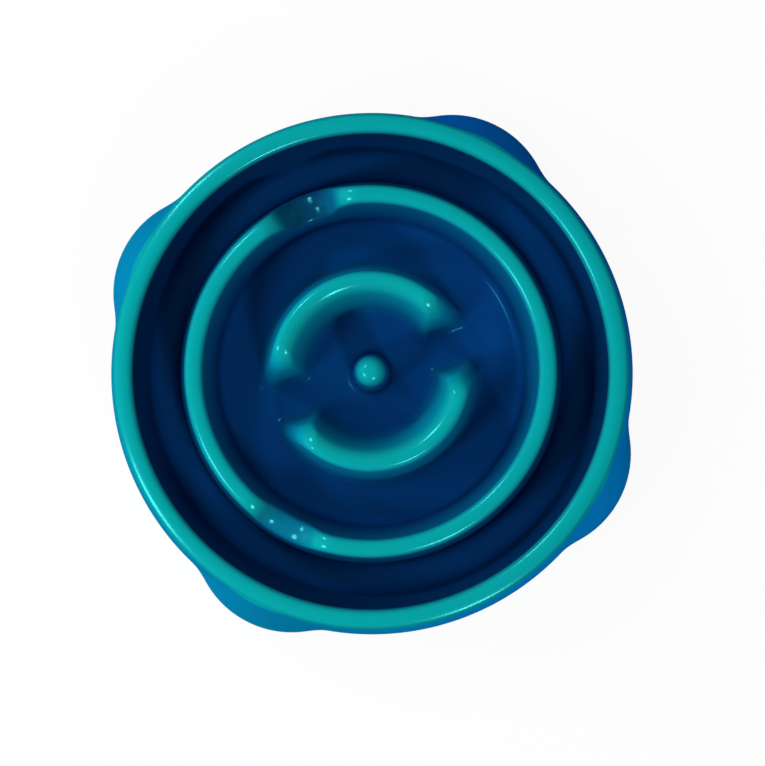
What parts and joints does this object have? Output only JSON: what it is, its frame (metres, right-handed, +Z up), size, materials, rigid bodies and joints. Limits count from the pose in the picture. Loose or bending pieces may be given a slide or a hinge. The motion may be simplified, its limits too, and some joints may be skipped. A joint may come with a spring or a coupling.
{
  "type": "slow feeder bowl",
  "caption": "Round slow feeder bowl with a maze of hollow ridges, a centre post, rounded base lobes and soft push-in feet.",
  "frame": {"origin": "on the plane that the feet stand on, under the middle of the bowl", "axes": "+Z is up; +X points through one gap between the crescents and -X through the other; +Y points within 3 degrees of the back saddle of the ring"},
  "size_m": [0.216, 0.216, 0.045],
  "materials": {
    "bowl_plastic": "gloss, moulded in teal",
    "foot_rubber": "matte, dark blue grey"
  },
  "bodies": {
    "root": {"bowl": "bowl_plastic", "foot_front_right": "foot_rubber", "foot_front_left": "foot_rubber", "foot_back_left": "foot_rubber", "foot_back_right": "foot_rubber"}
  },
  "joints": []
}
